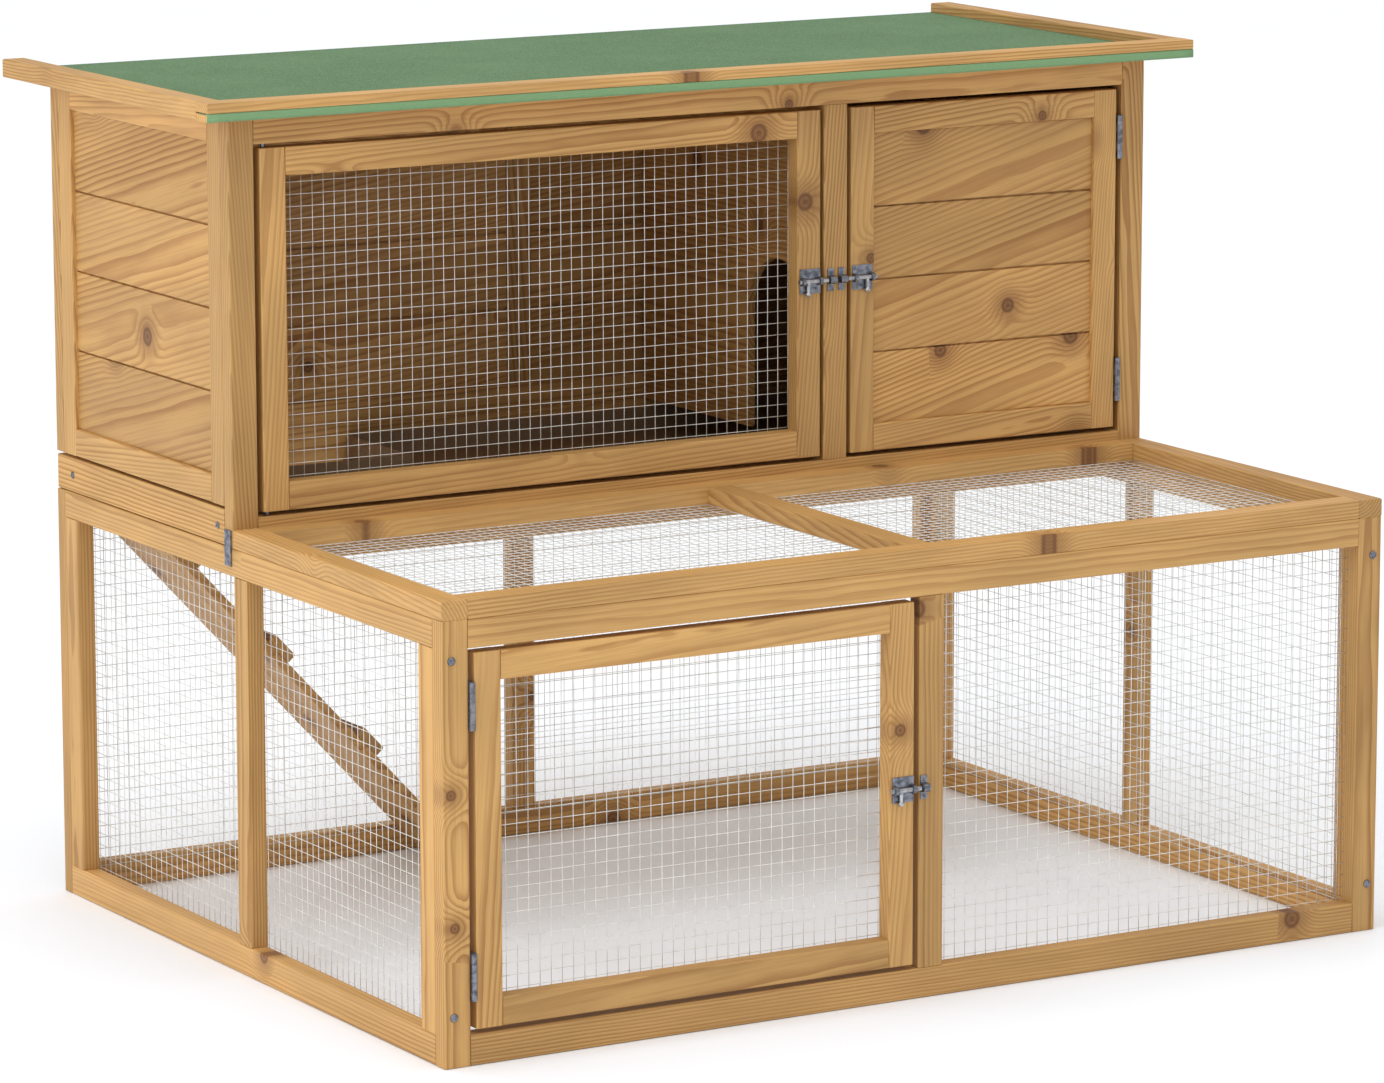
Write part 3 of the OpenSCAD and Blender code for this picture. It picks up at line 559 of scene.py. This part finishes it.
def makeFelt():
    lo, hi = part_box("roof_felt")
    trims = [boxOf(p) for p, f in islandsOf("roof_trims")]
    front = max(trims, key=lambda t: t[1].x - t[0].x)
    sides = [t for t in trims if t is not front]
    left = min(sides, key=lambda t: t[0].x)[1].x
    right = max(sides, key=lambda t: t[0].x)[0].x
    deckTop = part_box("roof_board")[1].z
    rng = random.Random(31)
    waves = [(rng.uniform(3, 16), rng.uniform(3, 16), rng.uniform(0, 6.28))
        for _ in range(feltLook["waves"])]

    def dip(x, y):
        total = sum(math.sin(a * x + b * y + c) for a, b, c in waves) / len(waves)
        return feltLook["waviness"] * (0.5 * total - 0.5)

    bm = bmesh.new()
    countX = round((hi.x - lo.x) / feltLook["cell"])
    # the profile runs up the front face and back over the deck
    profile = [(lo.y + 0.0001, lo.z + 0.0002), (lo.y + 0.0001, lo.z + 0.003),
        (lo.y, deckTop - 0.002), (lo.y + 0.0003, hi.z - 0.0006), (lo.y + 0.0012, hi.z - 0.0001),
        (lo.y + 0.006, hi.z)]
    foldRows = len(profile)  # the rows behind these lie on the deck
    y = lo.y + 0.02
    while y < hi.y - 0.004:
        profile.append((y, hi.z))
        y += feltLook["cell"]
    profile.append((hi.y - 0.0002, hi.z))
    split = front[1].y
    rows = []
    for i in range(countX + 1):
        x = lo.x + (hi.x - lo.x) * i / countX
        row = []
        for j, (py, pz) in enumerate(profile):
            px = x if py < split else min(max(x, left), right)
            z = pz + (dip(px, py) if j >= foldRows else 0)
            row.append(bm.verts.new((px, py, z)))
        rows.append(row)
    for i in range(countX):
        for j in range(len(profile) - 1):
            quad = (rows[i][j], rows[i + 1][j], rows[i + 1][j + 1], rows[i][j + 1])
            spread = {tuple(round(c, 6) for c in v.co) for v in quad}
            if len(spread) == 4:
                bm.faces.new(quad)
    bmesh.ops.remove_doubles(bm, verts=bm.verts[:], dist=1e-6)
    bmesh.ops.solidify(bm, geom=bm.faces[:], thickness=feltLook["thickness"])
    loose = [v for v in bm.verts if not v.link_faces]
    bmesh.ops.delete(bm, geom=loose, context="VERTS")
    # painted light: the front edge that is turned down gets a brighter colour, as if lit from the
    # front
    paintedLightLayer = bm.verts.layers.float.new("paintedLightMask")
    for v in bm.verts:
        v[paintedLightLayer] = float(v.co.y < lo.y + 0.003 and v.co.z < hi.z - 0.0003)
    bmesh.ops.recalc_face_normals(bm, faces=bm.faces[:])
    addPiece("roof_felt.sheet", bm, "felt", bodyOf["roof_felt"], ["roof_felt"], smooth=True)


makeFelt()
print("felt made")


# screws and bolt heads
screwLook = {
    "recessDepth": 0.0007,  # depth of the cross, metres
    "recessWidth": 0.17,  # half width of the cross, share of the head's radius
    "turn": 1.5,  # a cross may be turned by up to this, radians
    "corner": (0.0045, 0.0024),  # radius and height of a head, metres
    "cornerShank": (0.037, 0.0025),  # length and radius
    "tray": (0.004, 0.0010),
    "trayShank": (0.017, 0.002),
    "tie": (0.0034, 0.0010),
    "plate": (0.0024, 0.0009),
    "keeper": (0.0022, 0.0008),
}


def addHead(bm, centre, outward, radius, height, turn=0.0, shank=0.0, shankRadius=0.0):
    outward = outward.normalized()
    one = outward.orthogonal().normalized()
    two = outward.cross(one)
    rings, sides = 9, 32
    crown = bm.verts.new(centre + outward * (height - screwLook["recessDepth"]))
    previous = None
    for k in range(1, rings + 1):
        r = k / rings
        ring = []
        for s in range(sides):
            a = 2 * math.pi * s / sides
            x, y = r * math.cos(a + turn), r * math.sin(a + turn)
            rise = height * math.sqrt(max(0.0, 1 - (r * 0.96) ** 2))
            width = screwLook["recessWidth"]
            if r < 0.64 and (abs(x) < width or abs(y) < width):
                rise -= screwLook["recessDepth"]
            if k == rings:
                rise = 0.0
            ring.append(bm.verts.new(centre + (one * math.cos(a) + two * math.sin(a)) * r * radius
                + outward * rise))
        for s in range(sides):
            t = (s + 1) % sides
            if previous is None:
                bm.faces.new((crown, ring[s], ring[t]))
            else:
                bm.faces.new((previous[s], ring[s], ring[t], previous[t]))
        previous = ring
    if shank:
        for depth, r in ((0.0, shankRadius), (shank, shankRadius)):
            ring = [bm.verts.new(centre - outward * depth + (one * math.cos(2 * math.pi * s / sides)
                + two * math.sin(2 * math.pi * s / sides)) * r) for s in range(sides)]
            for s in range(sides):
                t = (s + 1) % sides
                bm.faces.new((previous[s], ring[s], ring[t], previous[t]))
            previous = ring
    bm.faces.new(previous)


def middleOf(points):
    lo, hi = boxOf(points)
    return (lo + hi) / 2, lo, hi


rng = random.Random(77)
bm = bmesh.new()
hutchMiddle = (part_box("run_left_frame")[0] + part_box("run_right_frame")[1]) / 2
for points, faces in islandsOf("run_corner_bolts"):
    middle, lo, hi = middleOf(points)
    outside = -1 if middle.y < hutchMiddle.y else 1
    tall = screwLook["corner"][1]
    seat = Vector((middle.x, lo.y + tall if outside < 0 else hi.y - tall, middle.z))
    addHead(bm, seat, Vector((0, outside, 0)), *screwLook["corner"],
        rng.uniform(0, screwLook["turn"]), *screwLook["cornerShank"])
addPiece("run_corner_bolts.heads", bm, "zinc", bodyOf["run_corner_bolts"], ["run_corner_bolts"],
    True)

bm = bmesh.new()
for points, faces in islandsOf("tray_screws"):
    middle, lo, hi = middleOf(points)
    seat = Vector((lo.x + screwLook["tray"][1], middle.y, middle.z))
    addHead(bm, seat, Vector((-1, 0, 0)), *screwLook["tray"],
        rng.uniform(0, screwLook["turn"]), *screwLook["trayShank"])
addPiece("tray_screws.heads", bm, "zinc", bodyOf["tray_screws"], ["tray_screws"], True)

bm = bmesh.new()
for points, faces in islandsOf("tie_plates"):
    middle, lo, hi = middleOf(points)
    out = -1 if middle.x < 0 else 1
    for z in (lo.z + 0.008, hi.z - 0.008):
        addHead(bm, Vector((lo.x if out < 0 else hi.x, middle.y, z)), Vector((out, 0, 0)),
            *screwLook["tie"], rng.uniform(0, screwLook["turn"]))
addPiece("tie_plate.screws", bm, "zinc", "hutch", (), True)


def plateScrews(name, node, body):
    lo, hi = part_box(node)
    face = hi.y - 0.0012
    made = bmesh.new()
    for x in (lo.x + 0.0072, hi.x - 0.0072):
        for z in (lo.z + 0.0042, hi.z - 0.0042):
            addHead(made, Vector((x, face, z)), Vector((0, -1, 0)), *screwLook["plate"],
                rng.uniform(0, screwLook["turn"]))
    addPiece(name, made, "zinc", body, (), True)


plateScrews("run_bolt_plate.screws", "run_bolt_plate", "run_door")
plateScrews("mesh_bolt_plate.screws", "mesh_bolt_plate", "mesh_door")
plateScrews("solid_bolt_plate.screws", "solid_bolt_plate", "solid_door")
bm = bmesh.new()
for points, faces in islandsOf("bolt_keepers"):
    middle, lo, hi = middleOf(points)
    for z in (lo.z + 0.0038, hi.z - 0.0038):
        addHead(bm, Vector((middle.x, hi.y - 0.0012, z)), Vector((0, -1, 0)),
            *screwLook["keeper"], rng.uniform(0, screwLook["turn"]))
addPiece("bolt_keeper.screws", bm, "zinc", "hutch", (), True)
print("screws made")

# CAD pieces that stay: better materials
for name, node in nodes.items():
    if not node.hide_render:
        for s in node.material_slots:
            s.link = "OBJECT"
            s.material = finishes[slotOf[name]]

# floor, light and camera
stageLook = {
    "floor": (0.91, 0.94, 0.985, 1),
    "floorPatches": (0.84, 0.86, 0.90, 1),
    "floorSize": 60.0,  # metres from the middle to an edge
    "domeStrength": 0.60,
    "keyEnergy": 8.0,
    "fillEnergy": 62.0,
    "topStrength": 1.75,
    "keyPlace": (-1.2, -4.2, 4.4),
    "sidePlace": (-4.6, -0.9, 2.0),
    "lampSize": 2.6,
    "sunAngle": 70,  # degrees, large for soft shadows
}
bm = bmesh.new()
bmesh.ops.create_grid(bm, x_segments=8, y_segments=8, size=stageLook["floorSize"])
floorMesh = bpy.data.meshes.new("floor")
bm.to_mesh(floorMesh)
bm.free()
floor = bpy.data.objects.new("floor", floorMesh)
bpy.context.scene.collection.objects.link(floor)
floor.location = (0, 0, -0.0004)
floorMaterial = bpy.data.materials.new("studioFloor")
floorMaterial.use_nodes = True
net = Net(floorMaterial.node_tree)
shader = floorMaterial.node_tree.nodes["Principled BSDF"]
grain = net.noise(net.node("ShaderNodeTexCoord").outputs["Object"], 3.0, 2.0)
net.put(shader.inputs["Base Color"], net.mix(net.ramp(grain, 0.3, 0.7, 0.0, 0.03),
    stageLook["floor"], stageLook["floorPatches"]))
net.put(shader.inputs["Roughness"], 0.55)
net.put(shader.inputs["Specular IOR Level"], 0.15)
floorMesh.materials.append(floorMaterial)

world = bpy.data.worlds.new("studio")
bpy.context.scene.world = world
world.use_nodes = True
world.node_tree.nodes.clear()
net = Net(world.node_tree)
path = net.node("ShaderNodeLightPath").outputs
direct = net.math("MAXIMUM", path["Is Camera Ray"], path["Is Transmission Ray"])
dome = net.node("ShaderNodeBackground", {"Color": (1.0, 0.99, 0.975, 1),
    "Strength": stageLook["domeStrength"]})
white = net.node("ShaderNodeBackground", {"Color": (1, 1, 1, 1), "Strength": 1.0})
blend = net.node("ShaderNodeMixShader", {0: direct, 1: dome.outputs[0], 2: white.outputs[0]})
net.node("ShaderNodeOutputWorld", {"Surface": blend.outputs[0]})


def areaLight(name, place, target, size, energy, color):
    data = bpy.data.lights.new(name, "AREA")
    data.shape, data.size, data.energy, data.color = "DISK", size, energy, color
    lamp = bpy.data.objects.new(name, data)
    bpy.context.scene.collection.objects.link(lamp)
    lamp.location = place
    lamp.rotation_euler = (Vector(target) - Vector(place)).to_track_quat("-Z", "Y").to_euler()


areaLight("key", stageLook["keyPlace"], (0, 0, 0.4), stageLook["lampSize"],
    stageLook["keyEnergy"], (1.0, 0.975, 0.94))
areaLight("side", stageLook["sidePlace"], (0, 0, 0.5), stageLook["lampSize"],
    stageLook["fillEnergy"], (0.97, 0.99, 1.0))
topData = bpy.data.lights.new("top", "SUN")
topData.energy, topData.color = stageLook["topStrength"], (1, 1, 1)
topData.angle = math.radians(stageLook["sunAngle"])
top = bpy.data.objects.new("top", topData)
bpy.context.scene.collection.objects.link(top)
top.rotation_euler = (math.radians(4), math.radians(-8), 0)

cameraLook = {
    "place": (-3.5091, -5.9367, 1.6806),
    "yaw": 30.478,  # degrees from straight back towards the right
    "pitch": 10.431,  # degrees below level
    "roll": 0.064,
    "lens": 166.56,
}
cameraData = bpy.data.cameras.new("camera")
cameraData.sensor_width = 36.0
cameraData.lens = cameraLook["lens"]
cameraData.clip_end = 200.0
camera = bpy.data.objects.new("camera", cameraData)
bpy.context.scene.collection.objects.link(camera)
camera.location = cameraLook["place"]
camera.rotation_euler = (math.radians(90 - cameraLook["pitch"]), math.radians(cameraLook["roll"]),
    math.radians(-cameraLook["yaw"]))
bpy.context.scene.camera = camera
bpy.context.scene.view_settings.view_transform = "Standard"
print("stage made")
